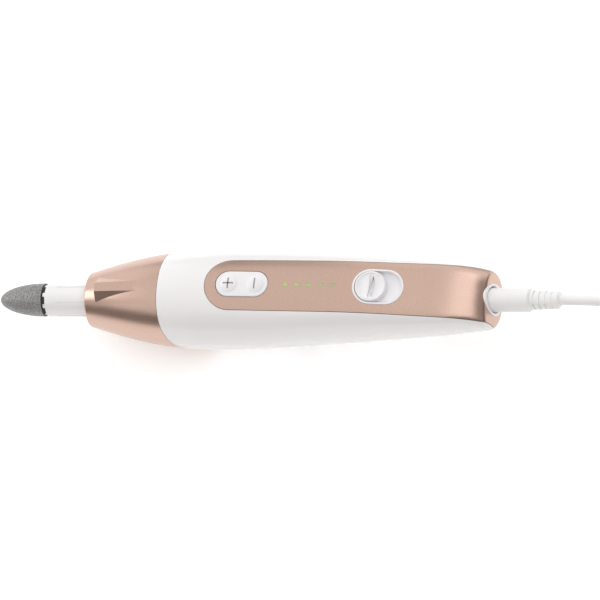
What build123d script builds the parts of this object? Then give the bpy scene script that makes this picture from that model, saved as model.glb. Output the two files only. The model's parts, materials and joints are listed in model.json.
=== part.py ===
from build123d import *
import math
import os

# Electric callus remover: a motor handpiece that spins an abrasive cone, with its DC lead.
# All sizes are in millimetres. Stations run along X from the tip of the abrasive cone to the
# rear, Y is across, and Z is measured up from the spindle axis. At the end everything is moved
# so that the origin lies in the middle of the handpiece, on the surface it rests on.

# ---- Driving dimensions ----
REAR_STATION = 193.5
BELLY_Z = -18.1
FAR = 45.0
AHEAD = 0.0
BEHIND = 260.0

# Handpiece form: station, half width, height above the axis, depth below it, squareness of the top
FORM = [
    (36.0, 10.0, 10.0, 10.0, 2.0),
    (44.0, 12.4, 12.4, 12.4, 2.0),
    (55.0, 15.2, 15.1, 15.2, 2.0),
    (68.0, 17.4, 17.0, 17.5, 2.05),
    (84.0, 18.35, 17.6, 18.4, 2.25),
    (102.0, 18.1, 17.1, 18.3, 2.5),
    (120.0, 17.1, 16.4, 17.0, 2.75),
    (139.0, 15.8, 15.5, 15.4, 2.95),
    (155.0, 14.8, 13.8, 13.7, 3.1),
    (169.0, 13.8, 12.0, 12.2, 3.3),
    (176.0, 13.2, 11.1, 11.5, 3.4),
    (182.0, 12.5, 10.0, 10.9, 3.4),
    (186.0, 12.1, 8.7, 10.5, 3.3),
    (189.0, 11.7, 7.0, 10.2, 3.2),
    (193.0, 11.2, 3.9, 9.8, 3.1),
    (197.0, 10.7, 1.4, 9.5, 3.1),
]
SECTION_POINTS = 24
REAR_FACE_RADIUS = 35.0
REAR_FACE_CENTRE_Z = -7.0
REAR_CUT_START = 175.0
REAR_EDGE_ROUND = 2.6
REAR_EDGE_FROM = 175.0
LEAST_ROUND = 0.5
FRONT_EDGE_ROUND = 0.8

# Nose joint: a cylinder across the handpiece separates the nose cone from the housing
NOSE_JOINT_RADIUS = 45.0
NOSE_JOINT_TOP_STATION = 66.8
NOSE_JOINT_CENTRE_Z = 18.0
NOSE_JOINT_GAP = 0.15
NOSE_ZONE_END = 100.0
NOSE_WALL = 2.2
NOSE_FRONT = 36.0
NOSE_BORE_START = 38.4
NOSE_HOLLOW_START = 50.0
NOSE_TUBE_END = 64.0
NOSE_TUBE_RADIUS = 9.4
NOSE_BORE_RADIUS = 7.6
SLEEVE_HOLE_RADIUS = 6.6

# Raised hood on top of the nose cone: station, half width of its top and of its foot, height
NOSE_HOOD = [(41.2, 1.7, 4.9, 2.3), (62.0, 2.0, 2.6, -0.15)]
HOOD_OVERREACH = 1.15

# Housing shells
WALL = 2.6
SPLIT_Z = -7.0
PLATE_THICKNESS = 1.0
PLATE_SEAT = 1.15
PLATE_GAP = 0.2
PLATE_LOWEST_Z = -8.4
PLATE_FRONT_STATION = 85.6
# Each side of the plate: station and half width
PLATE_SIDE = [(95.2, 9.6), (125.0, 9.8), (157.0, 9.95), (182.0, 10.15), (190.0, 9.95), (200.0, 8.6)]

# Controls
ABOVE_Z = 25.0
ROCKER_STATION = 100.0
ROCKER_LENGTH = 20.1
ROCKER_WIDTH = 9.9
ROCKER_BOTTOM_Z = 14.5
ROCKER_GAP = 0.2
ROCKER_PIN_RADIUS = 0.75
ROCKER_PIN_Z = 14.1
ROCKER_PIN_HALF_LENGTH = ROCKER_WIDTH / 2 + 2.3
PIN_RUNNING_GAP = 0.03
LUG_HALF_LENGTH = 2.0
LUG_BOTTOM_Z = 12.4
LUG_TOP_Z = 15.0
DOME_OFFSET = 5.1
DOME_RADIUS = 3.4
DOME_HEIGHT = 0.85
MARK_LENGTH = 4.1
MARK_WIDTH = 0.6
MARK_DEPTH = 0.6
ROCKER_FOOT_Z = 13.4
FOOT_RADIUS = 1.1
ROCKER_EDGE_ROUND = 0.5
ROCKER_HUB_HALF_LENGTH = 1.6
ROCKER_HUB_HALF_WIDTH = 4.6
ROCKER_HUB_BOTTOM_Z = 12.7
SWITCH_TOP_Z = 13.15
LIGHT_STATIONS = (116.7, 121.3, 125.8, 130.4, 135.0)
GUIDE_BOTTOM_Z = 10.2
GUIDE_THICKNESS = 1.2
LIGHT_LENGTH = 1.9
LIGHT_WIDTH = 1.1
BEZEL_STATION = 152.1
BEZEL_LENGTH = 19.4
BEZEL_WIDTH = 13.6
RECESS_LENGTH = 17.9
RECESS_WIDTH = 12.3
BEZEL_TILT = 6.5
BEZEL_TOP_Z = 14.25
RECESS_DEPTH = 2.6
BEZEL_DEPTH = 3.5
BEZEL_ABOVE = 8.0
TRIM_PROUD = 0.25
KNOB_RADIUS = 5.9
KNOB_REST_ALONG = -2.8
KNOB_TRAVEL = 5.5
KNOB_HEIGHT = 2.9
KNOB_FLOAT = 0.15
KNOB_DISH_DEPTH = 1.0
KNOB_DISH_RADIUS = 18.0
KNOB_RIM = 0.8
RIDGE_HALF_WIDTH = 0.6
RIDGE_OFFSET = -0.65
RIDGE_FLANK_ANGLE = 10.0
SLIT_OFFSET = 0.75
SLIT_HALF_WIDTH = 0.75
SLIT_HALF_LENGTH = 4.1
SLIT_DEPTH = 1.4
RIDGE_PROUD = 0.45
KNOB_STEM_RADIUS = 1.4
KNOB_STEM_OFFSET = -1.6
KNOB_STEM_BOTTOM = -4.3
STEM_GAP = 0.3

# Drive train on the spindle axis
CONE_LENGTH = 17.6
CONE_RADIUS = 6.14
HUB_LENGTH = 1.2
HUB_RADIUS = 5.75
TOOTH_COUNT = 8
NOTCH_DEPTH = 0.85
NOTCH_HALF_WIDTH = 0.95
TOOTH_GAP = 0.2
TOOTH_INNER_RADIUS = 4.4
SHANK_RADIUS = 1.175
SHANK_END = 48.0
SLEEVE_RADIUS = 6.2
SLEEVE_START = 19.0
SLEEVE_END = 39.6
GROOVE_START = 23.6
GROOVE_END = 37.5
GROOVE_HALF_WIDTH = 0.25
GROOVE_DEPTH = 0.35
GROOVE_COUNT = 6
SPINDLE_RADIUS = 3.0
SPINDLE_BORE_RADIUS = 1.225
SPINDLE_START = 21.0
SPINDLE_END = 64.0
FRONT_BEARING_STATION = 43.0
REAR_BEARING_STATION = 56.0
BEARING_WIDTH = 5.0
BEARING_OUTER_RADIUS = 6.5
BALL_RADIUS = 0.9
BALL_CIRCLE_RADIUS = 4.75
BALL_COUNT = 9
CARRIER_START = 41.0
CARRIER_FLANGE_STATION = 71.0
CARRIER_FLANGE_RADIUS = 12.6
CARRIER_FLANGE_THICKNESS = 2.0
MOTOR_START = 73.0
MOTOR_END = 103.0
MOTOR_RADIUS = 10.2
MOTOR_HALF_FLAT = 7.6
MOTOR_WALL = 1.0
MOTOR_SHAFT_RADIUS = 1.0
MOTOR_SCREW_OFFSET = 7.4
MOTOR_SCREW_RADIUS = 1.0
MOTOR_SCREW_HEAD_RADIUS = 1.8
MOTOR_SCREW_HEAD_START = 69.8

# Electronics
BOARD_BOTTOM_Z = 8.0
BOARD_THICKNESS = 1.0
BOARD_START = 90.0
BOARD_END = 158.0
BOARD_HALF_WIDTH = 8.5
BOARD_BAY_GAP = 0.4
BOARD_TOP_Z = BOARD_BOTTOM_Z + BOARD_THICKNESS
BOARD_SCREWS = [(113.0, 6.4), (113.0, -6.4), (139.2, 6.4), (139.2, -6.4)]
# Each housing screw: station, distance from the middle, height of the seat under its head
HOUSING_SCREWS = [(116.0, 12.0, -10.0), (116.0, -12.0, -10.0), (171.0, 6.5, -8.1), (171.0, -6.5, -8.1)]
BOARD_SCREW_RADIUS = 0.8
BOARD_SCREW_HEAD_RADIUS = 1.5
BOARD_SCREW_GRIP = 3.2
BOARD_POST_RADIUS = 1.9
BOSS_RADIUS = 2.4
SCREW_RADIUS = 1.0
SCREW_HEAD_RADIUS = 1.9

# DC socket and plug
SOCKET_RING_RADIUS = 6.0
SOCKET_RADIUS = 5.1
SOCKET_FLOOR_STATION = 187.6
SOCKET_CUT_START = 180.0
SOCKET_RING_PROUD = 0.35
JACK_START = 176.0
JACK_HALF_WIDTH = 4.4
JACK_BOTTOM_Z = -5.2
JACK_TOP_Z = 4.0
JACK_FLANGE_RADIUS = 5.9
JACK_FLANGE_THICKNESS = 1.4
JACK_BORE_RADIUS = 2.85
JACK_PIN_RADIUS = 1.0
PLUG_START = 188.2
PLUG_END = 207.5
PLUG_RADIUS = 4.45
PLUG_BARREL_RADIUS = 2.75
RELIEF_END = 218.6
RELIEF_RADIUS = 3.45
SLOT_ROWS = 4
SLOT_FIRST = 1.1
SLOT_PITCH = 2.35
SLOT_WIDTH = 0.7
SLOT_DEPTH = 0.75
BRIDGE_HALF_WIDTH = 0.8
CORD_RADIUS = 1.9

# Put-away lead: a tied hank in line with the handpiece, and the wall adapter behind it
HANK_CENTRE_STATION = 349.0
HANK_HALF_STRAIGHT = 33.0
HANK_OUTER_RADIUS = 17.6
HANK_INNER_RADIUS = 9.4
HANK_LIFT = 1.0
HANK_HEIGHT = 15.6
TIE_THICKNESS = 0.8
TIE_WIDTH = 9.0
ADAPTER_START = 420.0
ADAPTER_LENGTH = 60.0
ADAPTER_WIDTH = 36.0
ADAPTER_HEIGHT = 27.0
ADAPTER_BASE_HEIGHT = 19.0
ADAPTER_WALL = 1.8
ADAPTER_EXIT_Y = -8.0
ADAPTER_EXIT_Z = BELLY_Z + 10.0
MAINS_PIN_RADIUS = 2.0
MAINS_PIN_LENGTH = 19.0
MAINS_PIN_ROOT_RADIUS = 1.7
MAINS_PIN_ROOT_LENGTH = 1.0
MAINS_PIN_INSET = 16.0
MAINS_PIN_SPACING = 18.6

# Route of the lead, from the plug's strain relief to the hank and from the hank to the adapter
CORD_RUN = [
    (RELIEF_END, 0.0, 0.0),
    (239.6, 0.0, 0.0),
    (260.0, -2.4, -9.6),
    (281.0, -8.6, -14.9),
    (301.0, -14.2, -15.2),
    (317.0, -15.7, -15.2),
]
CORD_TAIL = [
    (378.0, -11.6, -3.5),
    (389.0, -11.2, -4.4),
    (398.5, -8.6, -7.0),
    (409.0, ADAPTER_EXIT_Y, ADAPTER_EXIT_Z),
]


# ---- Small helpers ----
def along_x(radius, start, end, y=0.0, z=0.0):
    """A round bar along X between two stations."""
    place = Pos((start + end) / 2, y, z) * Rot(0, 90, 0)
    return place * Cylinder(radius, end - start)


def tube_x(outer, inner, start, end):
    return along_x(outer, start, end) - along_x(inner, start, end)


def upright(radius, x, y, bottom, top):
    """A round bar along Z."""
    return Pos(x, y, (bottom + top) / 2) * Cylinder(radius, top - bottom)


def block(x_range, y_range, z_range):
    """A box between two values on each axis."""
    spans = (x_range, y_range, z_range)
    centre = [(low + high) / 2 for low, high in spans]
    size = [high - low for low, high in spans]
    return Pos(*centre) * Box(*size)


def stadium(length, width, x, y, bottom, top):
    """An upright prism with round ends, its length along X."""
    outline = SlotOverall(length, width)
    return Pos(x, y, bottom) * extrude(outline, top - bottom)


def largest(shape):
    return max(shape.solids(), key=lambda solid: solid.volume)


# ---- The outer form of the handpiece ----
def form_section(station, half_width, top, bottom, squareness, inset):
    points = []
    for step in range(SECTION_POINTS):
        angle = 2 * math.pi * step / SECTION_POINTS - math.pi / 2
        across = math.cos(angle)
        up = math.sin(angle)
        power = 2 / squareness if up > 0 else 1
        height = top if up > 0 else bottom
        y = (half_width - inset) * math.copysign(abs(across) ** power, across)
        z = (height - inset) * math.copysign(abs(up) ** power, up)
        points.append(Vector(station, y, z))
    return Face(Wire([Edge.make_spline(points, periodic=True)]))


def rear_waste(inset):
    """What lies behind the arched rear face."""
    centre = REAR_STATION - REAR_FACE_RADIUS
    keep = Pos(centre, 0, REAR_FACE_CENTRE_Z) * Rot(90, 0, 0) * Cylinder(REAR_FACE_RADIUS - inset, 2 * FAR)
    return block((REAR_CUT_START, BEHIND), (-FAR, FAR), (-FAR, FAR)) - keep


def form(inset):
    """The handpiece's outer shape, offset inwards."""
    sections = [form_section(*row, inset) for row in FORM]
    shape = loft(sections) - rear_waste(inset)
    rear_round = REAR_EDGE_ROUND - inset
    if rear_round > LEAST_ROUND:
        rear_edges = shape.edges().filter_by(lambda e: e.center().X > REAR_EDGE_FROM and e.length > 25)
        shape = fillet(rear_edges, rear_round)
    return shape


def top_height(station):
    """Height of the form's top line above the axis."""
    for (x0, _, z0, _, _), (x1, _, z1, _, _) in zip(FORM, FORM[1:]):
        if x0 <= station <= x1:
            return z0 + (z1 - z0) * (station - x0) / (x1 - x0)


def nose_zone(gap):
    """Everything ahead of the nose joint."""
    centre = NOSE_JOINT_TOP_STATION + NOSE_JOINT_RADIUS
    ahead = block((AHEAD, NOSE_ZONE_END), (-FAR, FAR), (-FAR, FAR))
    place = Pos(centre, 0, NOSE_JOINT_CENTRE_Z) * Rot(90, 0, 0)
    return ahead - place * Cylinder(NOSE_JOINT_RADIUS + gap, 2 * FAR)


def plate_outline(gap):
    """Plan outline of the control plate: round in front, gently widening, drawn in at the rear."""
    side = [(x, y + gap) for x, y in PLATE_SIDE]
    far_side = [(x, -y) for x, y in reversed(side)]
    nose = ThreePointArc(far_side[-1], (PLATE_FRONT_STATION - gap, 0), side[0])
    edges = [Spline(*side), Line(side[-1], far_side[0]), Spline(*far_side), nose]
    return make_face(Curve() + edges)


def plate_prism(gap, lowest):
    return Pos(0, 0, lowest) * extrude(plate_outline(gap), FAR)


# ---- Build the forms once ----
OUTER = form(0.0)
PLATE_UNDER = form(PLATE_THICKNESS)
SEAT_UNDER = form(PLATE_SEAT)
INNER = form(WALL)
NOSE_INNER = form(NOSE_WALL)
BOSS_LIMIT = form(WALL - 0.4)
RAISED = form(-TRIM_PROUD)


def on_bezel(shape, along=0.0):
    """Place a shape drawn at the origin on the sloping switch bezel, some way along it."""
    return Pos(BEZEL_STATION, 0, BEZEL_TOP_Z) * Rot(0, BEZEL_TILT, 0) * Pos(along, 0, 0) * shape


# ---- Nose cone ----
def hood_section(station, top_half, foot_half, height):
    """A flat-topped section across the hood, which reaches a little below the nose's surface."""
    surface = top_height(station)
    ridge = surface + height
    drop = ridge - math.sqrt(surface ** 2 - foot_half ** 2)
    foot_y = top_half + HOOD_OVERREACH * (foot_half - top_half)
    foot_z = ridge - HOOD_OVERREACH * drop
    outline = [(-foot_y, foot_z), (-top_half, ridge), (top_half, ridge), (foot_y, foot_z)]
    corners = [(station, y, z) for y, z in outline]
    return make_face(Polyline(*corners, close=True))


def nose_hood():
    """A tapered hood along the top of the nose, highest at its front end."""
    return loft([hood_section(*row) for row in NOSE_HOOD], ruled=True)


def make_nose_cone():
    zone = nose_zone(NOSE_JOINT_GAP)
    shell = OUTER & zone
    front_edges = shell.edges().group_by(Axis.X)[0]
    shell = fillet(front_edges, FRONT_EDGE_ROUND)
    hollow = NOSE_INNER & block((NOSE_HOLLOW_START, NOSE_ZONE_END), (-FAR, FAR), (-FAR, FAR))
    shell -= hollow - along_x(NOSE_TUBE_RADIUS, NOSE_FRONT, NOSE_TUBE_END)
    shell -= along_x(NOSE_BORE_RADIUS, NOSE_BORE_START, NOSE_ZONE_END)
    shell -= along_x(SLEEVE_HOLE_RADIUS, AHEAD, NOSE_BORE_START)
    above_belly = block((AHEAD, BEHIND), (-FAR, FAR), (BELLY_Z, FAR))
    return largest((shell + nose_hood()) & above_belly)


# ---- Housing and control plate ----
def plate_seat():
    skin = (OUTER - SEAT_UNDER) & plate_prism(PLATE_GAP, PLATE_LOWEST_Z - PLATE_GAP)
    return largest(skin)


def rocker_opening():
    length = ROCKER_LENGTH + 2 * ROCKER_GAP
    width = ROCKER_WIDTH + 2 * ROCKER_GAP
    return stadium(length, width, ROCKER_STATION, 0, BOARD_TOP_Z, ABOVE_Z)


def light_openings(gap):
    posts = []
    for station in LIGHT_STATIONS:
        posts.append(stadium(LIGHT_LENGTH + gap, LIGHT_WIDTH + gap, station, 0, GUIDE_BOTTOM_Z, ABOVE_Z))
    return posts


def bezel_opening(gap):
    body = stadium(BEZEL_LENGTH + gap, BEZEL_WIDTH + gap, 0, 0, -BEZEL_DEPTH - 1.5, BEZEL_ABOVE)
    return on_bezel(body)


def hollow_shell():
    """Both housing shells as one body, before they are parted at the split."""
    shell = OUTER - nose_zone(0.0) - INNER
    shell -= plate_seat()
    shell -= along_x(SOCKET_RING_RADIUS, SOCKET_CUT_START, BEHIND)
    return shell


def pin_lug(side):
    """A bracket under the top wall that holds one end of the rocker's hinge pin."""
    y_inner = side * (ROCKER_WIDTH / 2 + 0.7)
    y_outer = side * (ROCKER_PIN_HALF_LENGTH + 0.2)
    x_range = (ROCKER_STATION - LUG_HALF_LENGTH, ROCKER_STATION + LUG_HALF_LENGTH)
    lug = block(x_range, sorted((y_inner, y_outer)), (LUG_BOTTOM_Z, LUG_TOP_Z))
    return lug - rocker_pin_bar(0.0)


def rocker_pin_bar(gap):
    place = Pos(ROCKER_STATION, 0, ROCKER_PIN_Z) * Rot(90, 0, 0)
    return place * Cylinder(ROCKER_PIN_RADIUS + gap, 2 * ROCKER_PIN_HALF_LENGTH)


def make_upper_housing(shell):
    upper = shell & block((AHEAD, BEHIND), (-FAR, FAR), (SPLIT_Z, FAR))
    for x, y, seat in HOUSING_SCREWS:
        upper += (upright(BOSS_RADIUS, x, y, SPLIT_Z, LUG_BOTTOM_Z) & BOSS_LIMIT) - board_bay(x)
    for x, y in BOARD_SCREWS:
        upper += upright(BOARD_POST_RADIUS, x, y, BOARD_TOP_Z, ABOVE_Z) & SEAT_UNDER
    for side in (-1, 1):
        upper += pin_lug(side)
    upper -= rocker_pin_bar(0.0)
    upper -= rocker_opening() & block((AHEAD, BEHIND), (-FAR, FAR), (LUG_BOTTOM_Z, FAR))
    for opening in light_openings(0.1):
        upper -= opening
    upper -= bezel_opening(0.1)
    for x, y, seat in HOUSING_SCREWS:
        upper -= upright(SCREW_RADIUS, x, y, SPLIT_Z - 1, SPLIT_Z + 8)
    for x, y in BOARD_SCREWS:
        upper -= upright(BOARD_SCREW_RADIUS, x, y, BOARD_TOP_Z - 1, BOARD_TOP_Z + BOARD_SCREW_GRIP + 0.2)
    return largest(upper)


def board_bay(x):
    """Space over a boss that stays free for the circuit board."""
    half = BOARD_HALF_WIDTH + BOARD_BAY_GAP
    return block((x - 4, x + 4), (-half, half), (BOARD_BOTTOM_Z - BOARD_BAY_GAP, FAR))


def make_lower_housing(shell):
    lower = shell & block((AHEAD, BEHIND), (-FAR, FAR), (-FAR, SPLIT_Z))
    for x, y, seat in HOUSING_SCREWS:
        lower += upright(BOSS_RADIUS, x, y, -FAR, SPLIT_Z) & BOSS_LIMIT
    motor_span = (MOTOR_START + 6, MOTOR_END - 6)
    lower += block(motor_span, (-6, 6), (-FAR, -MOTOR_HALF_FLAT)) & BOSS_LIMIT
    jack_span = (JACK_START + 1, JACK_START + 9)
    lower += block(jack_span, (-3, 3), (-FAR, JACK_BOTTOM_Z)) & BOSS_LIMIT
    for x, y, seat in HOUSING_SCREWS:
        lower -= upright(SCREW_RADIUS, x, y, -FAR, SPLIT_Z)
        lower -= upright(SCREW_HEAD_RADIUS + 0.3, x, y, -FAR, seat)
    lower &= block((AHEAD, BEHIND), (-FAR, FAR), (BELLY_Z, FAR))
    return largest(lower)


def make_control_plate():
    plate = (OUTER - PLATE_UNDER) & plate_prism(0.0, PLATE_LOWEST_Z)
    plate = largest(plate)
    plate -= rocker_opening()
    for opening in light_openings(0.1):
        plate -= opening
    plate -= bezel_opening(0.1)
    plate -= along_x(SOCKET_RING_RADIUS, SOCKET_CUT_START, BEHIND)
    return largest(plate)


# ---- Controls ----
def make_rocker_button():
    body = stadium(ROCKER_LENGTH, ROCKER_WIDTH, ROCKER_STATION, 0, ROCKER_BOTTOM_Z, ABOVE_Z) & RAISED
    rim = body.edges().filter_by(lambda e: e.center().Z > ROCKER_BOTTOM_Z + 1.5 and e.length > 8)
    body = fillet(rim, ROCKER_EDGE_ROUND)
    dome_sphere = (DOME_RADIUS ** 2 + DOME_HEIGHT ** 2) / (2 * DOME_HEIGHT)
    long_mark = (MARK_LENGTH, MARK_WIDTH)
    cross_mark = (MARK_WIDTH, MARK_LENGTH)
    for side, marks in ((-1, (long_mark, cross_mark)), (1, (cross_mark,))):
        x = ROCKER_STATION + side * DOME_OFFSET
        base = top_height(x) + TRIM_PROUD
        ball = Pos(x, 0, base + DOME_HEIGHT - dome_sphere) * Sphere(dome_sphere)
        body += ball & upright(DOME_RADIUS, x, 0, base - 0.5, base + 2)
        for length, width in marks:
            body -= Pos(x, 0, base + DOME_HEIGHT + 1 - MARK_DEPTH) * Box(length, width, 2)
        body += upright(FOOT_RADIUS, x, 0, ROCKER_FOOT_Z, ROCKER_BOTTOM_Z + 0.2)
    hub_span = (ROCKER_STATION - ROCKER_HUB_HALF_LENGTH, ROCKER_STATION + ROCKER_HUB_HALF_LENGTH)
    hub_width = (-ROCKER_HUB_HALF_WIDTH, ROCKER_HUB_HALF_WIDTH)
    body += block(hub_span, hub_width, (ROCKER_HUB_BOTTOM_Z, ROCKER_BOTTOM_Z + 0.2))
    return body - rocker_pin_bar(PIN_RUNNING_GAP)


def make_light_guide():
    half = LIGHT_WIDTH / 2
    ends = (LIGHT_STATIONS[0] - 1, LIGHT_STATIONS[-1] + 1)
    runner = block(ends, (-half, half), (GUIDE_BOTTOM_Z, GUIDE_BOTTOM_Z + GUIDE_THICKNESS))
    for post in light_openings(0.0):
        runner += post
    return runner & OUTER


def make_switch_bezel():
    body = on_bezel(stadium(BEZEL_LENGTH, BEZEL_WIDTH, 0, 0, -BEZEL_DEPTH, 5)) & RAISED
    body -= on_bezel(stadium(RECESS_LENGTH, RECESS_WIDTH, 0, 0, -RECESS_DEPTH, 5))
    middle = KNOB_REST_ALONG + KNOB_STEM_OFFSET + KNOB_TRAVEL / 2
    slot_width = 2 * (KNOB_STEM_RADIUS + STEM_GAP)
    slot = stadium(KNOB_TRAVEL + slot_width, slot_width, middle, 0, -BEZEL_DEPTH - 2, 0)
    return body - on_bezel(slot)


def lens_face(half_width, half_length):
    """A pointed lens, longer across the knob."""
    sides = [
        ThreePointArc((0, -half_length), (half_width, 0), (0, half_length)),
        ThreePointArc((0, half_length), (-half_width, 0), (0, -half_length)),
    ]
    return make_face(Curve() + sides)


def make_slide_knob():
    """A round cap with a dished top, a finger ridge across it and a stem through the slot."""
    floor = -RECESS_DEPTH + KNOB_FLOAT
    top = floor + KNOB_HEIGHT
    cap = Pos(0, 0, floor + KNOB_HEIGHT / 2) * Cylinder(KNOB_RADIUS, KNOB_HEIGHT)
    cap = fillet(cap.edges().group_by(Axis.Z)[-1], 0.5)
    dish = Pos(0, 0, top - KNOB_DISH_DEPTH + KNOB_DISH_RADIUS) * Sphere(KNOB_DISH_RADIUS)
    cap -= dish & Cylinder(KNOB_RADIUS - KNOB_RIM, 20)
    dish_floor = top - KNOB_DISH_DEPTH
    height = KNOB_DISH_DEPTH + RIDGE_PROUD
    ridge = extrude(lens_face(RIDGE_HALF_WIDTH, KNOB_RADIUS - KNOB_RIM), height, taper=RIDGE_FLANK_ANGLE)
    cap += Pos(RIDGE_OFFSET, 0, dish_floor) * ridge
    slit = extrude(lens_face(SLIT_HALF_WIDTH, SLIT_HALF_LENGTH), SLIT_DEPTH + height)
    cap -= Pos(SLIT_OFFSET, 0, dish_floor - SLIT_DEPTH) * slit
    cap += upright(KNOB_STEM_RADIUS, KNOB_STEM_OFFSET, 0, KNOB_STEM_BOTTOM, floor + 0.1)
    return on_bezel(cap, KNOB_REST_ALONG)


def make_socket_ring():
    ring = tube_x(SOCKET_RING_RADIUS, SOCKET_RADIUS, SOCKET_FLOOR_STATION, REAR_STATION + 5)
    return ring - rear_waste(-SOCKET_RING_PROUD)


# ---- Spindle and drive ----
def make_abrasive_cone():
    """A blunt ogive: an elliptical profile turned about the spindle axis."""
    profile = EllipticalCenterArc((CONE_LENGTH, 0), CONE_LENGTH, CONE_RADIUS, 90, arc_size=90)
    closing = Polyline((0, 0), (CONE_LENGTH, 0), (CONE_LENGTH, CONE_RADIUS))
    cone = revolve(make_face(Curve() + [profile, closing]), Axis.X)
    return cone - along_x(SHANK_RADIUS, 8, CONE_LENGTH)


def make_cone_hub():
    """A thin crown behind the cone, with teeth that grip the sleeve."""
    start = CONE_LENGTH
    end = start + HUB_LENGTH
    hub = tube_x(HUB_RADIUS, SHANK_RADIUS, start, end)
    across = (-NOTCH_HALF_WIDTH, NOTCH_HALF_WIDTH)
    notch = block((end - NOTCH_DEPTH, end), across, (TOOTH_INNER_RADIUS - TOOTH_GAP, HUB_RADIUS + 1))
    for step in range(TOOTH_COUNT):
        hub -= Rot(step * 360 / TOOTH_COUNT, 0, 0) * notch
    return hub


def make_cone_shank():
    return along_x(SHANK_RADIUS, 8, SHANK_END)


def make_drive_sleeve():
    sleeve = along_x(SLEEVE_RADIUS, SLEEVE_START, SLEEVE_END)
    sleeve = fillet(sleeve.edges().group_by(Axis.X)[0], 0.4)
    sleeve -= along_x(SPINDLE_RADIUS, SPINDLE_START, SLEEVE_END)
    sleeve -= along_x(SHANK_RADIUS + 0.3, SLEEVE_START, SPINDLE_START)
    bottom = SLEEVE_RADIUS - GROOVE_DEPTH
    across = (-GROOVE_HALF_WIDTH, GROOVE_HALF_WIDTH)
    groove = block((GROOVE_START, GROOVE_END), across, (bottom, SLEEVE_RADIUS + 1))
    for step in range(GROOVE_COUNT):
        sleeve -= Rot((step + 0.5) * 360 / GROOVE_COUNT, 0, 0) * groove
    return sleeve + clutch_teeth()


def clutch_teeth():
    """Teeth in front of the sleeve that stand in the hub's notches and turn the cone."""
    half = NOTCH_HALF_WIDTH - TOOTH_GAP
    start = CONE_LENGTH + HUB_LENGTH - NOTCH_DEPTH + TOOTH_GAP
    outer = HUB_RADIUS - 0.1
    tooth = block((start, SLEEVE_START + 0.3), (-half, half), (TOOTH_INNER_RADIUS, SLEEVE_RADIUS))
    tooth &= along_x(outer, start, SLEEVE_START + 0.3)
    teeth = [Rot(step * 360 / TOOTH_COUNT, 0, 0) * tooth for step in range(TOOTH_COUNT)]
    return teeth


def make_spindle():
    bar = along_x(SPINDLE_RADIUS, SPINDLE_START, 61.5) + along_x(1.5, 61.5, SPINDLE_END)
    return bar - along_x(SPINDLE_BORE_RADIUS, SPINDLE_START - 1, SHANK_END + 1.0)


def bearing_rings(station):
    outer = tube_x(BEARING_OUTER_RADIUS, BEARING_OUTER_RADIUS - 1.1, station, station + BEARING_WIDTH)
    inner = tube_x(SPINDLE_RADIUS + 1.1, SPINDLE_RADIUS, station, station + BEARING_WIDTH)
    place = Pos(station + BEARING_WIDTH / 2, 0, 0) * Rot(0, 90, 0)
    groove = place * Torus(BALL_CIRCLE_RADIUS, BALL_RADIUS + 0.03)
    return outer - groove, inner - groove


def make_balls():
    balls = []
    for station in (FRONT_BEARING_STATION, REAR_BEARING_STATION):
        for step in range(BALL_COUNT):
            ball = Pos(station + BEARING_WIDTH / 2, 0, BALL_CIRCLE_RADIUS) * Sphere(BALL_RADIUS)
            balls.append(Rot(step * 360 / BALL_COUNT, 0, 0) * ball)
    return Compound(children=balls)


def make_bearing_carrier():
    body = along_x(NOSE_BORE_RADIUS, CARRIER_START, CARRIER_FLANGE_STATION)
    flange_end = CARRIER_FLANGE_STATION + CARRIER_FLANGE_THICKNESS
    body += along_x(CARRIER_FLANGE_RADIUS, CARRIER_FLANGE_STATION, flange_end)
    body -= along_x(BEARING_OUTER_RADIUS, FRONT_BEARING_STATION, REAR_BEARING_STATION + BEARING_WIDTH)
    body -= along_x(5.2, REAR_BEARING_STATION, flange_end)
    body += tube_x(NOSE_BORE_RADIUS, 5.4, 48.0, 56.0)
    body -= along_x(3.4, CARRIER_START, FRONT_BEARING_STATION)
    for side in (-1, 1):
        y = side * MOTOR_SCREW_OFFSET
        body -= along_x(MOTOR_SCREW_RADIUS, CARRIER_FLANGE_STATION, flange_end, y=y)
        head_room = MOTOR_SCREW_HEAD_RADIUS + 0.1
        body -= along_x(head_room, MOTOR_SCREW_HEAD_START - 0.2, CARRIER_FLANGE_STATION, y=y)
    return body


def make_felt_seal():
    return tube_x(NOSE_BORE_RADIUS, SPINDLE_RADIUS + 0.3, 40.0, CARRIER_START)


def make_coupling():
    body = along_x(4.2, 61.8, 72.0)
    body -= along_x(1.5, 61.8, SPINDLE_END)
    body -= along_x(MOTOR_SHAFT_RADIUS, 65.0, 72.0)
    return body


def motor_form(inset, start, end):
    flat = MOTOR_HALF_FLAT - inset
    return along_x(MOTOR_RADIUS - inset, start, end) & block((start, end), (-20, 20), (-flat, flat))


def make_motor_can():
    can = motor_form(0, MOTOR_START, MOTOR_END - 2) - motor_form(MOTOR_WALL, MOTOR_START + 1.5, MOTOR_END)
    can -= along_x(3.0, MOTOR_START - 1, MOTOR_START + 2)
    for side in (-1, 1):
        y = side * MOTOR_SCREW_OFFSET
        can -= along_x(MOTOR_SCREW_RADIUS, MOTOR_START, MOTOR_START + 1.5, y=y)
    return can


def make_motor_end_cap():
    cap = motor_form(0, MOTOR_END - 2, MOTOR_END)
    cap -= along_x(MOTOR_SHAFT_RADIUS + 0.1, MOTOR_END - 3, MOTOR_END + 1)
    for side in (-1, 1):
        cap -= block((MOTOR_END - 3, MOTOR_END + 1), (side * 6 - 1.2, side * 6 + 1.2), (-0.3, 0.3))
    return cap


def make_motor_magnets():
    ring = tube_x(MOTOR_RADIUS - MOTOR_WALL, 7.2, MOTOR_START + 4, MOTOR_END - 6)
    magnets = ring & block((0, 200), (-20, 20), (-5, 5))
    return magnets


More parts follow.
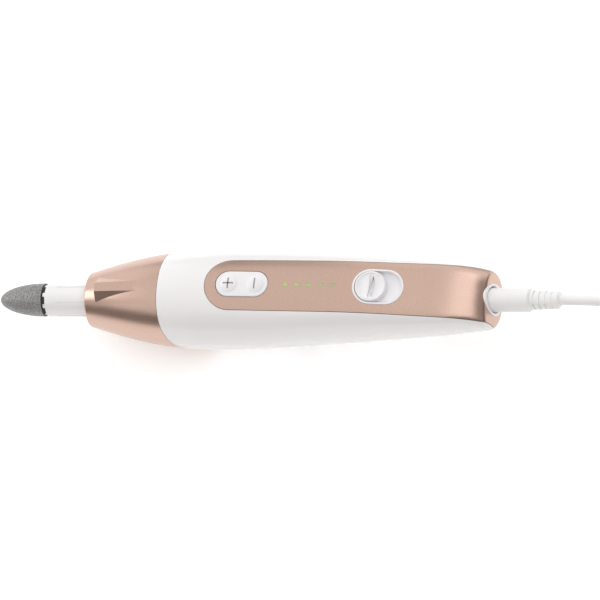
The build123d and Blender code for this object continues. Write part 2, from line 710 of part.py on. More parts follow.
def make_motor_terminals():
    tabs = []
    for side in (-1, 1):
        y = side * 6
        tabs.append(block((MOTOR_END - 3, MOTOR_END + 4), (y - 1.2, y + 1.2), (-0.3, 0.3)))
    return Compound(children=tabs)


def make_motor_armature():
    body = along_x(6.6, MOTOR_START + 6, MOTOR_END - 10)
    for step in range(3):
        slot = block((MOTOR_START, MOTOR_END), (-0.9, 0.9), (3.4, 8))
        body -= Rot(step * 120, 0, 0) * slot
    return body - along_x(MOTOR_SHAFT_RADIUS, MOTOR_START, MOTOR_END)


def make_commutator():
    return tube_x(2.6, MOTOR_SHAFT_RADIUS, MOTOR_END - 9, MOTOR_END - 4)


def make_motor_shaft():
    return along_x(MOTOR_SHAFT_RADIUS, 65.0, MOTOR_END - 0.5)


def make_motor_screws():
    screws = []
    for side in (-1, 1):
        y = side * MOTOR_SCREW_OFFSET
        shank = along_x(MOTOR_SCREW_RADIUS, CARRIER_FLANGE_STATION, MOTOR_START + 1.5, y=y)
        head = along_x(MOTOR_SCREW_HEAD_RADIUS, MOTOR_SCREW_HEAD_START, CARRIER_FLANGE_STATION, y=y)
        screws.append(head + shank)
    return Compound(children=screws)


# ---- Electronics ----
def make_circuit_board():
    y_span = (-BOARD_HALF_WIDTH, BOARD_HALF_WIDTH)
    board = block((BOARD_START, BOARD_END), y_span, (BOARD_BOTTOM_Z, BOARD_TOP_Z))
    for x, y in BOARD_SCREWS:
        board -= upright(BOARD_SCREW_RADIUS, x, y, BOARD_BOTTOM_Z - 1, BOARD_TOP_Z + 1)
    return board


def make_tact_switch(side):
    x = ROCKER_STATION + side * DOME_OFFSET
    case = block((x - 2.2, x + 2.2), (-2.2, 2.2), (BOARD_TOP_Z, BOARD_TOP_Z + 2.6))
    return case + upright(1.1, x, 0, BOARD_TOP_Z + 2.6, SWITCH_TOP_Z)


def make_status_leds():
    leds = []
    for x in LIGHT_STATIONS:
        leds.append(block((x - 0.8, x + 0.8), (-0.5, 0.5), (BOARD_TOP_Z, BOARD_TOP_Z + 0.9)))
    return Compound(children=leds)


def make_slide_switch_body():
    x = BEZEL_STATION + KNOB_REST_ALONG + KNOB_STEM_OFFSET + KNOB_TRAVEL / 2
    half = KNOB_TRAVEL / 2 + 2.6
    case = block((x - half, x + half), (-3.0, 3.0), (BOARD_TOP_Z, BOARD_TOP_Z + 0.9))
    pocket = block((x - half + 0.8, x + half - 0.8), (-1.7, 1.7), (BOARD_TOP_Z + 0.3, BOARD_TOP_Z + 3))
    return case - pocket


def make_control_chip():
    return block((124, 131), (3.0, 7.4), (BOARD_TOP_Z, BOARD_TOP_Z + 1.1))


def make_filter_capacitor():
    return along_x(3.1, 142, 153, y=3.8, z=BOARD_BOTTOM_Z - 3.1)


def make_board_screws():
    screws = []
    for x, y in BOARD_SCREWS:
        shank = upright(BOARD_SCREW_RADIUS, x, y, BOARD_BOTTOM_Z, BOARD_TOP_Z + BOARD_SCREW_GRIP)
        head = upright(BOARD_SCREW_HEAD_RADIUS, x, y, BOARD_BOTTOM_Z - 1.0, BOARD_BOTTOM_Z)
        screws.append(head + shank)
    return Compound(children=screws)


def make_housing_screws():
    screws = []
    for x, y, seat in HOUSING_SCREWS:
        head = upright(SCREW_HEAD_RADIUS, x, y, seat - 1.2, seat)
        head -= block((x - 1.3, x + 1.3), (y - 0.25, y + 0.25), (seat - 2, seat - 0.6))
        head -= block((x - 0.25, x + 0.25), (y - 1.3, y + 1.3), (seat - 2, seat - 0.6))
        screws.append(head + upright(SCREW_RADIUS, x, y, seat, SPLIT_Z + 7.5))
    return Compound(children=screws)


def lead_wire(points, radius):
    """A short internal wire along straight runs with round corners."""
    path = FilletPolyline(*points, radius=1.6)
    end = Plane(origin=path @ 0, z_dir=path % 0)
    return sweep(end * Circle(radius), path=path)


def make_motor_leads():
    wires = []
    for side in (-1, 1):
        y = side * 6
        points = [(MOTOR_END + 4, y, 0), (MOTOR_END + 7, y, 0), (MOTOR_END + 7, y, BOARD_BOTTOM_Z)]
        wires.append(lead_wire(points, 0.5))
    return Compound(children=wires)


def make_jack_leads():
    wires = []
    for side in (-1, 1):
        y = side * 2.4
        points = [(JACK_START, y, 0), (JACK_START - 16, y, 0), (JACK_START - 16, y, BOARD_BOTTOM_Z)]
        wires.append(lead_wire(points, 0.5))
    return Compound(children=wires)


def make_jack_body():
    flange = SOCKET_FLOOR_STATION - JACK_FLANGE_THICKNESS
    across = (-JACK_HALF_WIDTH, JACK_HALF_WIDTH)
    body = block((JACK_START, flange), across, (JACK_BOTTOM_Z, JACK_TOP_Z))
    body += along_x(JACK_FLANGE_RADIUS, flange, SOCKET_FLOOR_STATION)
    body -= along_x(JACK_BORE_RADIUS, JACK_START + 2, SOCKET_FLOOR_STATION + 1)
    return body


def make_jack_pin():
    pin = along_x(JACK_PIN_RADIUS, JACK_START + 2, SOCKET_FLOOR_STATION - 2.0)
    return fillet(pin.edges().group_by(Axis.X)[-1], 0.5)


# ---- Lead, plug and wall adapter ----
def make_plug_body():
    body = along_x(PLUG_RADIUS, PLUG_START, PLUG_END)
    body = fillet(body.edges().group_by(Axis.X)[-1], 1.2)
    return fillet(body.edges().group_by(Axis.X)[0], 0.4)


def make_plug_barrel():
    return tube_x(PLUG_BARREL_RADIUS, JACK_PIN_RADIUS + 0.1, JACK_START + 3.5, PLUG_START)


def make_plug_relief():
    """The slotted grip behind the plug, which tapers and lets the lead bend gently."""
    length = RELIEF_END - PLUG_END
    place = Pos(PLUG_END + length / 2, 0, 0) * Rot(0, 90, 0)
    body = place * Cone(RELIEF_RADIUS + 0.25, RELIEF_RADIUS - 0.2, length)
    body = fillet(body.edges().group_by(Axis.X)[-1], 0.9)
    for step in range(SLOT_ROWS):
        x = PLUG_END + SLOT_FIRST + step * SLOT_PITCH
        ring = tube_x(RELIEF_RADIUS + 1, RELIEF_RADIUS - SLOT_DEPTH, x, x + SLOT_WIDTH)
        bridge = block((x - 1, x + 2), (-BRIDGE_HALF_WIDTH, BRIDGE_HALF_WIDTH), (-6, 6))
        ring -= Rot(30 + 90 * (step % 2), 0, 0) * bridge
        body -= ring
    return body


def cord_tube(name, route):
    """A round tube along straight runs joined by tangent arcs, each as large as its runs allow."""
    points = [Vector(*point) for point in route]
    radii = []
    for before, corner, after in zip(points, points[1:], points[2:]):
        first = corner - before
        second = after - corner
        half_turn = math.radians(first.get_angle(second)) / 2
        radii.append(0.45 * min(first.length, second.length) / math.tan(half_turn))
    path = FilletPolyline(*points, radius=radii)
    end = Plane(origin=path @ 0, z_dir=path % 0)
    tube = sweep(end * Circle(CORD_RADIUS), path=path)
    expected = math.pi * CORD_RADIUS ** 2 * path.length
    print(name, "radii", [round(radius, 1) for radius in radii], "length", round(path.length, 1))
    print(name, "volume", round(tube.volume, 1), "expected", round(expected, 1))
    return tube


def make_cord_hank():
    """The outer shape of the folded lead: a long ring with round ends."""
    bottom = BELLY_Z + HANK_LIFT
    top = bottom + HANK_HEIGHT
    outer, inner = [
        stadium(2 * (HANK_HALF_STRAIGHT + radius), 2 * radius, HANK_CENTRE_STATION, 0, bottom, top)
        for radius in (HANK_OUTER_RADIUS, HANK_INNER_RADIUS)
    ]
    outer = fillet(outer.edges().group_by(Axis.Z)[0] + outer.edges().group_by(Axis.Z)[-1], 2.6)
    return outer - inner


def make_cord_tie():
    """A flat strap wrapped round the middle of the hank."""
    x = (HANK_CENTRE_STATION - TIE_WIDTH / 2, HANK_CENTRE_STATION + TIE_WIDTH / 2)
    half = HANK_OUTER_RADIUS + 0.1
    bottom = BELLY_Z + HANK_LIFT - 0.1
    top = bottom + HANK_HEIGHT + 0.2
    wide = half + TIE_THICKNESS
    outer = block(x, (-wide, wide), (bottom - TIE_THICKNESS, top + TIE_THICKNESS))
    outer = fillet(outer.edges().filter_by(Axis.X), 3.0)
    inner = fillet(block(x, (-half, half), (bottom, top)).edges().filter_by(Axis.X), 2.2)
    return outer - inner


def adapter_shell(inset):
    length = ADAPTER_LENGTH
    body = Box(length - 2 * inset, ADAPTER_WIDTH - 2 * inset, ADAPTER_HEIGHT - 2 * inset)
    body = fillet(body.edges().filter_by(Axis.Z), 6.0 - inset)
    rims = body.edges().filter_by(lambda e: abs(e.center().Z) > ADAPTER_HEIGHT / 2 - inset - 0.1)
    body = fillet(rims, 1.5 - inset / 2)
    return Pos(ADAPTER_START + length / 2, 0, BELLY_Z + ADAPTER_HEIGHT / 2) * body


def make_adapter_case():
    split = BELLY_Z + ADAPTER_BASE_HEIGHT
    case = adapter_shell(0) & block((400, 500), (-40, 40), (-40, split))
    case -= adapter_shell(ADAPTER_WALL)
    return case - adapter_exit_bar(3.2, ADAPTER_START - 1, ADAPTER_START + 4)


def adapter_exit_bar(radius, start, end):
    return along_x(radius, start, end, y=ADAPTER_EXIT_Y, z=ADAPTER_EXIT_Z)


def pin_places():
    x = ADAPTER_START + ADAPTER_LENGTH - MAINS_PIN_INSET
    return [(x, -MAINS_PIN_SPACING / 2), (x, MAINS_PIN_SPACING / 2)]


def make_adapter_cover():
    split = BELLY_Z + ADAPTER_BASE_HEIGHT
    cover = adapter_shell(0) & block((400, 500), (-40, 40), (split, 40))
    cover -= adapter_shell(ADAPTER_WALL)
    for x, y in pin_places():
        cover -= upright(MAINS_PIN_ROOT_RADIUS, x, y, 0, 20)
    return cover


def make_adapter_pins():
    """Round pins with a thinner root, which is held in the cover."""
    pins = []
    top = BELLY_Z + ADAPTER_HEIGHT
    for x, y in pin_places():
        pin = upright(MAINS_PIN_RADIUS, x, y, top + MAINS_PIN_ROOT_LENGTH, top + MAINS_PIN_LENGTH)
        pin = fillet(pin.edges().group_by(Axis.Z)[-1], 1.0)
        pins.append(pin + upright(MAINS_PIN_ROOT_RADIUS, x, y, top - 4.0, top + MAINS_PIN_ROOT_LENGTH))
    return Compound(children=pins)


def make_adapter_relief():
    length = 11.0
    start = ADAPTER_START - length
    place = Pos(start + length / 2, ADAPTER_EXIT_Y, ADAPTER_EXIT_Z) * Rot(0, 90, 0)
    return place * Cone(2.3, 3.6, length) + adapter_exit_bar(3.2, ADAPTER_START, ADAPTER_START + 4)


def make_adapter_board():
    floor = BELLY_Z + ADAPTER_WALL
    x = (ADAPTER_START + 6, ADAPTER_START + ADAPTER_LENGTH - 6)
    return block(x, (-14, 14), (floor, floor + 1.6))


def make_adapter_transformer():
    floor = BELLY_Z + ADAPTER_WALL + 1.6
    core = block((ADAPTER_START + 12, ADAPTER_START + 30), (-9, 9), (floor, floor + 15))
    return fillet(core.edges().filter_by(Axis.Z), 1.5)


# ---- Assembly ----
def make_parts():
    shell = hollow_shell()
    front_outer, front_inner = bearing_rings(FRONT_BEARING_STATION)
    rear_outer, rear_inner = bearing_rings(REAR_BEARING_STATION)
    return {
        "nose_cone": make_nose_cone(),
        "upper_housing": make_upper_housing(shell),
        "lower_housing": make_lower_housing(shell),
        "control_plate": make_control_plate(),
        "switch_bezel": make_switch_bezel(),
        "socket_ring": make_socket_ring(),
        "light_guide": make_light_guide(),
        "rocker_button": make_rocker_button(),
        "rocker_pin": rocker_pin_bar(0.0),
        "slide_knob": make_slide_knob(),
        "abrasive_cone": make_abrasive_cone(),
        "cone_hub": make_cone_hub(),
        "cone_shank": make_cone_shank(),
        "drive_sleeve": make_drive_sleeve(),
        "spindle": make_spindle(),
        "front_bearing_outer": front_outer,
        "front_bearing_inner": front_inner,
        "rear_bearing_outer": rear_outer,
        "rear_bearing_inner": rear_inner,
        "bearing_balls": make_balls(),
        "bearing_carrier": make_bearing_carrier(),
        "felt_seal": make_felt_seal(),
        "shaft_coupling": make_coupling(),
        "motor_can": make_motor_can(),
        "motor_end_cap": make_motor_end_cap(),
        "motor_magnets": make_motor_magnets(),
        "motor_terminals": make_motor_terminals(),
        "motor_armature": make_motor_armature(),
        "motor_commutator": make_commutator(),
        "motor_shaft": make_motor_shaft(),
        "motor_screws": make_motor_screws(),
        "circuit_board": make_circuit_board(),
        "plus_switch": make_tact_switch(-1),
        "minus_switch": make_tact_switch(1),
        "status_leds": make_status_leds(),
        "slide_switch_body": make_slide_switch_body(),
        "control_chip": make_control_chip(),
        "filter_capacitor": make_filter_capacitor(),
        "board_screws": make_board_screws(),
        "housing_screws": make_housing_screws(),
        "motor_leads": make_motor_leads(),
        "jack_leads": make_jack_leads(),
        "jack_body": make_jack_body(),
        "jack_pin": make_jack_pin(),
        "plug_body": make_plug_body(),
        "plug_barrel": make_plug_barrel(),
        "plug_relief": make_plug_relief(),
        "cord_run": cord_tube("cord_run", CORD_RUN),
        "cord_hank": make_cord_hank(),
        "cord_tail": cord_tube("cord_tail", CORD_TAIL),
        "cord_tie": make_cord_tie(),
        "adapter_case": make_adapter_case(),
        "adapter_cover": make_adapter_cover(),
        "adapter_pins": make_adapter_pins(),
        "adapter_relief": make_adapter_relief(),
        "adapter_board": make_adapter_board(),
        "adapter_transformer": make_adapter_transformer(),
    }


os.makedirs("parts", exist_ok=True)
TO_ORIGIN = Pos(-REAR_STATION / 2, 0, -BELLY_Z)
for node, shape in make_parts().items():
    export_step(TO_ORIGIN * shape, f"parts/{node}.step")
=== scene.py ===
import json
import math

import bpy
from mathutils import Matrix, Vector


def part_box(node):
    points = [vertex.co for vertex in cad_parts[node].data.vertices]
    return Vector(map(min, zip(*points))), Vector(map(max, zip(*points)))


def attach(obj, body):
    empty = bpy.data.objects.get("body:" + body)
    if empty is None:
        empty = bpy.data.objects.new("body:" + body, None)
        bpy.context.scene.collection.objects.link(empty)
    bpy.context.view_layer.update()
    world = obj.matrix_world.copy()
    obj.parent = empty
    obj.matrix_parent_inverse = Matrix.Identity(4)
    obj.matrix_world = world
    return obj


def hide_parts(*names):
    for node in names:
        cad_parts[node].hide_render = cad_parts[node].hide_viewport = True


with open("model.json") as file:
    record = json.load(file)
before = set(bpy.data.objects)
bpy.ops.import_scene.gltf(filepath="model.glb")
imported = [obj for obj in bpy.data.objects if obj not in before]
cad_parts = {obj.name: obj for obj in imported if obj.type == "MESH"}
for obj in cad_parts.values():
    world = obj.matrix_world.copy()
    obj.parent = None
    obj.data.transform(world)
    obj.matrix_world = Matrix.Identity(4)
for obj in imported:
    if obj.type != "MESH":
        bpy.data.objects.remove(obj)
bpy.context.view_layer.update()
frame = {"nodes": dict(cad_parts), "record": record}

NODES = frame["nodes"]
AXIS_Z = sum(corner.z for corner in map(Vector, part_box("spindle"))) / 2


# ---- Camera: seen from above, a little from the near side and the lead's end ----
TOWARDS_CAMERA = Vector((0.33, -0.33, 0.885)).normalized()
LENS_MM = 1600.0
SENSOR_MM = 36.0
FRAME_WIDTH = 0.2212
AIM = Vector((0.0204, 0.0, AXIS_Z))
CLIP_START = 0.01
CLIP_END = 40.0


def make_camera():
    data = bpy.data.cameras.new("camera")
    data.lens = LENS_MM
    data.sensor_width = SENSOR_MM
    data.clip_start = CLIP_START
    data.clip_end = CLIP_END
    camera = bpy.data.objects.new("camera", data)
    bpy.context.collection.objects.link(camera)
    right = (Vector((1, 0, 0)) - TOWARDS_CAMERA.x * TOWARDS_CAMERA).normalized()
    up = TOWARDS_CAMERA.cross(right)
    turn = Matrix((right, up, TOWARDS_CAMERA)).transposed()
    distance = FRAME_WIDTH * LENS_MM / SENSOR_MM
    camera.matrix_world = Matrix.Translation(AIM + TOWARDS_CAMERA * distance) @ turn.to_4x4()
    bpy.context.scene.camera = camera


# ---- Material helpers ----
# Gloss varies between these shares of a finish's roughness
GLOSS_SPREAD = (0.8, 1.25)
# Where a noise pattern, which runs from 0 to 1, turns from one colour to the other
DRIFT_STOPS = (0.3, 0.7)


class Shader:
    """A node-based material with short ways to add what the materials below need."""

    def __init__(self, name):
        self.material = bpy.data.materials.new(name)
        self.material.use_nodes = True
        self.tree = self.material.node_tree
        self.bsdf = self.tree.nodes["Principled BSDF"]
        self.coords = self.tree.nodes.new("ShaderNodeTexCoord").outputs["Object"]

    def set(self, **values):
        for name, value in values.items():
            self.bsdf.inputs[name.replace("_", " ")].default_value = value
        return self

    def noise(self, scale, detail=2.0, roughness=0.5, stretch=(1, 1, 1)):
        mapping = self.tree.nodes.new("ShaderNodeMapping")
        mapping.inputs["Scale"].default_value = stretch
        self.tree.links.new(self.coords, mapping.inputs["Vector"])
        node = self.tree.nodes.new("ShaderNodeTexNoise")
        node.inputs["Scale"].default_value = scale
        node.inputs["Detail"].default_value = detail
        node.inputs["Roughness"].default_value = roughness
        self.tree.links.new(mapping.outputs["Vector"], node.inputs["Vector"])
        return node.outputs["Fac"]

    def voronoi(self, scale):
        node = self.tree.nodes.new("ShaderNodeTexVoronoi")
        node.inputs["Scale"].default_value = scale
        self.tree.links.new(self.coords, node.inputs["Vector"])
        return node

    def ramp(self, factor, stops):
        node = self.tree.nodes.new("ShaderNodeValToRGB")
        elements = node.color_ramp.elements
        for index, (place, colour) in enumerate(stops):
            element = elements[index] if index < 2 else elements.new(place)
            element.position = place
            element.color = (*colour, 1.0)
        self.tree.links.new(factor, node.inputs["Fac"])
        return node.outputs["Color"]

    def span(self, factor, low, high):
        node = self.tree.nodes.new("ShaderNodeMapRange")
        node.inputs["To Min"].default_value = low
        node.inputs["To Max"].default_value = high
        self.tree.links.new(factor, node.inputs["Value"])
        return node.outputs["Result"]

    def uneven_gloss(self, pattern, roughness):
        low, high = GLOSS_SPREAD
        return self.plug(self.span(pattern, roughness * low, roughness * high), "Roughness")

    def drift(self, pattern, dark, light):
        first, last = DRIFT_STOPS
        return self.plug(self.ramp(pattern, [(first, dark), (last, light)]), "Base Color")

    def plug(self, output, name):
        self.tree.links.new(output, self.bsdf.inputs[name])
        return self

    def bump(self, height, strength, distance):
        node = self.tree.nodes.new("ShaderNodeBump")
        node.inputs["Strength"].default_value = strength
        node.inputs["Distance"].default_value = distance
        self.tree.links.new(height, node.inputs["Height"])
        self.tree.links.new(node.outputs["Normal"], self.bsdf.inputs["Normal"])
        return self


def srgb(code):
    """Linear colour from a six-digit hex code."""
    channels = [int(code[place:place + 2], 16) / 255 for place in (0, 2, 4)]
    return tuple(c / 12.92 if c <= 0.04045 else ((c + 0.055) / 1.055) ** 2.4 for c in channels)


def mix(a, b, share):
    return tuple(x * (1 - share) + y * share for x, y in zip(a, b))


def plastic(name, colour, roughness, mottling=0.03, orange_peel=0.04, coat=0.0, grain=900.0):
    """Moulded plastic: slight colour drift, uneven gloss and a faint orange-peel surface."""
    shader = Shader(name)
    shader.set(IOR=1.48, Coat_Weight=coat, Coat_Roughness=0.08)
    shader.drift(shader.noise(35.0, detail=3.0), tuple(c * (1 - mottling) for c in colour), colour)
    fine = shader.noise(grain, detail=2.0)
    shader.uneven_gloss(fine, roughness)
    shader.bump(fine, orange_peel, 0.0001)
    return shader.material


def metal(name, colour, roughness, grain_stretch=(1, 1, 1), grain=1500.0, depth=0.06, drift=0.05):
    """Bare or coated metal with fine grain and slightly uneven gloss."""
    shader = Shader(name)
    shader.set(Metallic=1.0)
    shader.drift(shader.noise(60.0, detail=3.0), tuple(c * (1 - drift) for c in colour), colour)
    fine = shader.noise(grain, detail=2.0, stretch=grain_stretch)
    shader.uneven_gloss(fine, roughness)
    shader.bump(fine, depth, 0.00005)
    return shader.material


FLAKE_SHARE = 0.3


def rose_gold():
    """Vacuum-coated rose gold under a thin clear lacquer, with tiny flakes in it."""
    shader = Shader("rose_gold_coating")
    shader.set(Metallic=0.95, Coat_Weight=0.2, Coat_Roughness=0.12, Coat_IOR=1.45)
    flakes = shader.noise(4200.0, detail=1.0)
    base = srgb("D2B3A3")
    dark = mix(base, srgb("B09082"), FLAKE_SHARE)
    light = mix(base, srgb("E8D0C4"), FLAKE_SHARE)
    shader.plug(shader.ramp(flakes, [(0.25, dark), (0.75, light)]), "Base Color")
    haze = shader.noise(120.0, detail=3.0)
    shader.plug(shader.span(haze, 0.26, 0.32), "Roughness")
    shader.bump(flakes, 0.04, 0.00002)
    return shader.material


def abrasive():
    """Grey mineral grit held in resin: light and dark grains side by side."""
    shader = Shader("mineral_grit")
    shader.set(IOR=1.6, Specular_IOR_Level=0.6, Metallic=0.2)
    cells = shader.voronoi(4600.0)
    speck = shader.noise(3800.0, detail=2.0)
    shade = shader.ramp(cells.outputs["Color"], [(0.1, srgb("5C5B5C")), (0.9, srgb("B2B1B1"))])
    shader.plug(shade, "Base Color")
    shader.plug(shader.span(speck, 0.3, 0.6), "Roughness")
    shader.bump(cells.outputs["Distance"], 0.5, 0.00008)
    return shader.material


# The row of lights dims between these places along the handpiece
DIMMING = (0.018, 0.040)


def green_light():
    """The light guide's posts: the first ones glow green, the last two hardly."""
    shader = Shader("green_light")
    split = shader.tree.nodes.new("ShaderNodeSeparateXYZ")
    shader.tree.links.new(shader.coords, split.inputs["Vector"])
    along = shader.span(split.outputs["X"], 0.0, 1.0)
    reach = along.node.inputs
    reach["From Min"].default_value, reach["From Max"].default_value = DIMMING
    colour = shader.ramp(along, [(0.0, srgb("A6D46E")), (0.5, srgb("A8CC78")), (0.85, srgb("B4BC92"))])
    shader.plug(colour, "Base Color")
    shader.plug(shader.ramp(along, [(0.0, srgb("A4D66C")), (0.85, srgb("5A6644"))]), "Emission Color")
    shader.set(Emission_Strength=0.15, Roughness=0.45)
    return shader.material


def cord_jacket():
    """Soft white PVC with a faint matte skin."""
    shader = Shader("cord_jacket")
    shader.set(IOR=1.5, Subsurface_Weight=0.08, Subsurface_Scale=0.001)
    shader.drift(shader.noise(90.0, detail=3.0), srgb("F9F9F9"), srgb("FDFDFD"))
    fine = shader.noise(1400.0)
    shader.plug(shader.span(fine, 0.38, 0.5), "Roughness")
    shader.bump(fine, 0.12, 0.00004)
    return shader.material


def woven_strap():
    shader = Shader("woven_strap")
    shader.set(Roughness=0.85, Sheen_Weight=0.3)
    wave = shader.tree.nodes.new("ShaderNodeTexWave")
    wave.inputs["Scale"].default_value = 900.0
    wave.inputs["Distortion"].default_value = 1.5
    shader.tree.links.new(shader.coords, wave.inputs["Vector"])
    shader.plug(shader.ramp(wave.outputs["Fac"], [(0.2, (0.012,) * 3), (0.8, (0.05,) * 3)]), "Base Color")
    shader.bump(wave.outputs["Fac"], 0.5, 0.0002)
    return shader.material


def circuit_laminate():
    shader = Shader("circuit_laminate")
    tone = shader.noise(300.0, detail=4.0)
    shader.plug(shader.ramp(tone, [(0.35, (0.01, 0.09, 0.04)), (0.65, (0.02, 0.16, 0.07))]), "Base Color")
    shader.set(Roughness=0.35, Coat_Weight=0.4)
    return shader.material


WHITE = srgb("FAFAFA")
BLACK = (0.022, 0.022, 0.024)
MATERIALS = {
    "rose_gold": rose_gold,
    "white_gloss": lambda: plastic("white_gloss_abs", WHITE, 0.22, mottling=0.012, coat=0.4),
    "white_trim": lambda: plastic("white_trim_abs", srgb("F8F8FA"), 0.3, mottling=0.012),
    "green_light": green_light,
    "led_body": lambda: plastic("led_lens", (0.7, 0.78, 0.6), 0.2),
    "abrasive_grit": abrasive,
    "black_plastic": lambda: plastic("black_plastic", BLACK, 0.5, mottling=0.2, orange_peel=0.15),
    "steel": lambda: metal("ground_steel", (0.6, 0.6, 0.6), 0.25, grain_stretch=(6, 1, 1)),
    "zinc_plate": lambda: metal("zinc_plate", (0.55, 0.55, 0.52), 0.4),
    "magnet": lambda: metal("sintered_iron", (0.09, 0.09, 0.1), 0.6, depth=0.2),
    "copper": lambda: metal("copper_alloy", (0.72, 0.42, 0.26), 0.3),
    "nickel": lambda: metal("nickel_plate", (0.68, 0.66, 0.62), 0.18),
    "aluminium": lambda: metal("turned_aluminium", (0.68, 0.68, 0.7), 0.32, grain_stretch=(8, 1, 1)),
    "felt": lambda: plastic("pressed_felt", (0.2, 0.19, 0.18), 0.9, mottling=0.4, orange_peel=0.8),
    "board_green": circuit_laminate,
    "wire_red": lambda: plastic("wire_red", (0.4, 0.03, 0.025), 0.4),
    "white_cord": cord_jacket,
    "tie_strap": woven_strap,
    "white_case": lambda: plastic(
        "white_case_abs", srgb("EFEFEF"), 0.45, mottling=0.02, orange_peel=0.3, grain=1600.0
    ),
}


def dress_cad_nodes():
    """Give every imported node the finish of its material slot."""
    made = {slot: build() for slot, build in MATERIALS.items()}
    for part in frame["record"]["subparts"]:
        node = NODES[part["node"]]
        for place in node.material_slots:
            place.material = made[part["material_slot"]]
    return made


# ---- Painted shade: grey inlays in the rocker's plus and minus grooves ----
MM = 0.001
MARK_LENGTH = 4.08
MARK_WIDTH = 0.58
MARK_THICKNESS = 0.26
PLUS_FLOOR = (-1.85, 0.0, 35.905)
MINUS_FLOOR = (8.35, 0.0, 35.59)
MARK_BARS = [
    (PLUS_FLOOR, MARK_LENGTH, MARK_WIDTH),
    (PLUS_FLOOR, MARK_WIDTH, MARK_LENGTH),
    (MINUS_FLOOR, MARK_WIDTH, MARK_LENGTH),
]
BOX_FACES = [(0, 1, 3, 2), (4, 6, 7, 5), (0, 4, 5, 1), (2, 3, 7, 6), (0, 2, 6, 4), (1, 5, 7, 3)]


def make_marks():
    corners = []
    faces = []
    for (x, y, z), length, width in MARK_BARS:
        first = len(corners)
        for dx in (-length / 2, length / 2):
            for dy in (-width / 2, width / 2):
                for dz in (0.0, MARK_THICKNESS):
                    corners.append(Vector((x + dx, y + dy, z + dz)) * MM)
        faces += [[first + corner for corner in face] for face in BOX_FACES]
    data = bpy.data.meshes.new("button_marks")
    data.from_pydata(corners, [], faces)
    # The inlays' grey is painted shade, darkening the grooves where shade falls
    data.materials.append(plastic("groove_painted_shade", srgb("A6A6AA"), 0.6, mottling=0.1, orange_peel=0.1))
    marks = bpy.data.objects.new("button_marks", data)
    bpy.context.collection.objects.link(marks)
    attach(marks, "rocker")


# ---- The lead ----
CORD_DIAMETER = 0.0038
RUN_POINTS = [
    (121.85, 0.0, 18.1),
    (142.85, 0.0, 18.1),
    (163.25, -2.4, 8.5),
    (184.25, -8.6, 3.2),
    (204.25, -14.2, 2.9),
]
TAIL_POINTS = [
    (292.25, -11.2, 13.7),
    (301.75, -8.6, 11.1),
    (312.25, -8.0, 10.0),
]
HANK_CENTRE = (252.25, 0.0)
HANK_HALF_STRAIGHT = 33.0
LANE_RADIUS = {"outer": 15.7, "inner": 11.6}
FIRST_LAYER_Z = 2.9
LAYER_PITCH = 3.9
POINTS_PER_TURN = 20
# Each turn's start: lane and layer. Between turns the lead changes lane or climbs a layer, and
# each change comes a little earlier in the turn than the one before, so turns never meet.
TURNS = [("outer", 0), ("inner", 0), ("inner", 1), ("outer", 1), ("outer", 2), ("inner", 2), ("inner", 3)]
CHANGE_END = [1.0, 0.9, 0.79, 0.7, 0.61, 0.52]
CHANGE_SPAN = 0.1
LAST_TURN_END = 0.20


def hank_point(turn, share):
    """A place in the hank: which turn, and how far round it, from 0 to 1."""
    lane, layer = TURNS[turn]
    radius = LANE_RADIUS[lane]
    z = FIRST_LAYER_Z + LAYER_PITCH * layer
    if turn < len(CHANGE_END):
        next_lane, next_layer = TURNS[turn + 1]
        done = (share - CHANGE_END[turn] + CHANGE_SPAN) / CHANGE_SPAN
        done = min(max(done, 0.0), 1.0)
        done = done * done * (3 - 2 * done)
        radius += (LANE_RADIUS[next_lane] - radius) * done
        z += LAYER_PITCH * (next_layer - layer) * done
    return stadium_point(share, radius, z)


def stadium_point(share, radius, z):
    """Along a loop with two straight sides and round ends, starting on the near side."""
    straight = 2 * HANK_HALF_STRAIGHT
    bend = math.pi * (LANE_RADIUS["outer"] + LANE_RADIUS["inner"]) / 2
    along = share * 2 * (straight + bend)
    x, y = HANK_CENTRE
    if along < straight:
        place = (along - HANK_HALF_STRAIGHT, -radius)
    elif along < straight + bend:
        angle = (along - straight) / bend * math.pi
        place = (HANK_HALF_STRAIGHT + radius * math.sin(angle), -radius * math.cos(angle))
    elif along < 2 * straight + bend:
        place = (HANK_HALF_STRAIGHT - (along - straight - bend), radius)
    else:
        angle = (along - 2 * straight - bend) / bend * math.pi
        place = (-HANK_HALF_STRAIGHT - radius * math.sin(angle), radius * math.cos(angle))
    return (x + place[0], y + place[1], z)


def cord_points():
    points = list(RUN_POINTS)
    for turn in range(len(TURNS)):
        for step in range(POINTS_PER_TURN):
            share = step / POINTS_PER_TURN
            if turn == len(TURNS) - 1 and share > LAST_TURN_END:
                break
            points.append(hank_point(turn, share))
    return [Vector(point) * MM for point in points + TAIL_POINTS]


def make_cord(material):
    points = cord_points()
    data = bpy.data.curves.new("dc_lead", "CURVE")
    data.dimensions = "3D"
    data.bevel_depth = CORD_DIAMETER / 2
    data.bevel_resolution = 5
    data.resolution_u = 6
    data.use_fill_caps = True
    spline = data.splines.new("NURBS")
    spline.points.add(len(points) - 1)
    for target, point in zip(spline.points, points):
        target.co = (*point, 1.0)
    spline.order_u = 3
    spline.use_endpoint_u = True
    data.materials.append(material)
    lead = bpy.data.objects.new("dc_lead", data)
    bpy.context.collection.objects.link(lead)
    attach(lead, "lead")
    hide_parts("cord_run", "cord_hank", "cord_tail")
    return lead


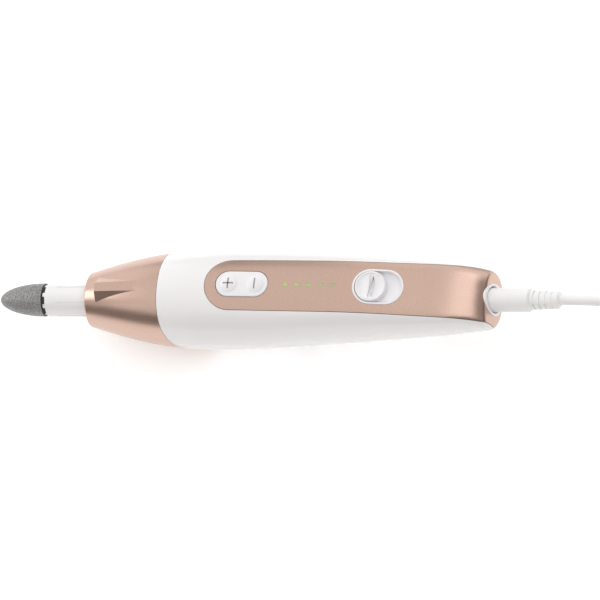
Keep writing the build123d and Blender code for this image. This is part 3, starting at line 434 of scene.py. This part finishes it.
# ---- Floor, world and lights ----
FLOOR_SIZE = 6.0
FLOOR_GLOW = 0.34
WORLD_COLOUR = (1.0, 0.88, 0.83, 1.0)
WORLD_STRENGTH = 0.16
MIDDLE = (0.0, 0.0, AXIS_Z)
# Name, place, what it faces, width and height, power
LIGHTS = [
    ("overhead_left", (-0.62, 0.12, 1.0), (-0.62, 0.12, 0.0), (1.24, 2.04), 5.9),
    ("overhead_right", (0.52, 0.12, 1.0), (0.52, 0.12, 0.0), (0.95, 2.04), 7.9),
    ("far_panel", (-1.3, 1.15, 0.55), MIDDLE, (1.3, 1.0), 3.9),
    ("far_panel_right", (0.4, 1.2, 0.6), MIDDLE, (1.7, 0.9), 4.4),
    ("near_panel", (-1.04, -0.86, 0.86), MIDDLE, (0.9, 0.3), 0.63),
    ("left_key", (-1.1, 0.1, 0.55), MIDDLE, (0.5, 0.5), 3.0),
]


def make_stage():
    bpy.ops.mesh.primitive_plane_add(size=FLOOR_SIZE)
    floor = bpy.context.object
    floor.name = "floor"
    shader = Shader("floor_white")
    shader.set(Base_Color=(0.95, 0.95, 0.95, 1.0), Roughness=0.9)
    shader.set(Emission_Color=(1.0, 1.0, 1.0, 1.0), Emission_Strength=FLOOR_GLOW)
    floor.data.materials.append(shader.material)


def make_world():
    world = bpy.data.worlds.new("studio")
    bpy.context.scene.world = world
    world.use_nodes = True
    background = world.node_tree.nodes["Background"]
    background.inputs["Color"].default_value = WORLD_COLOUR
    background.inputs["Strength"].default_value = WORLD_STRENGTH


def area_light(name, place, target, size, power):
    data = bpy.data.lights.new(name, "AREA")
    data.shape = "RECTANGLE"
    data.size, data.size_y = size
    data.energy = power
    light = bpy.data.objects.new(name, data)
    bpy.context.collection.objects.link(light)
    light.location = place
    light.rotation_euler = (Vector(target) - Vector(place)).to_track_quat("-Z", "Y").to_euler()


bpy.context.scene.view_settings.view_transform = "Standard"
make_camera()
finishes = dress_cad_nodes()
make_cord(finishes["white_cord"])
make_marks()
make_stage()
make_world()
for light in LIGHTS:
    area_light(*light)
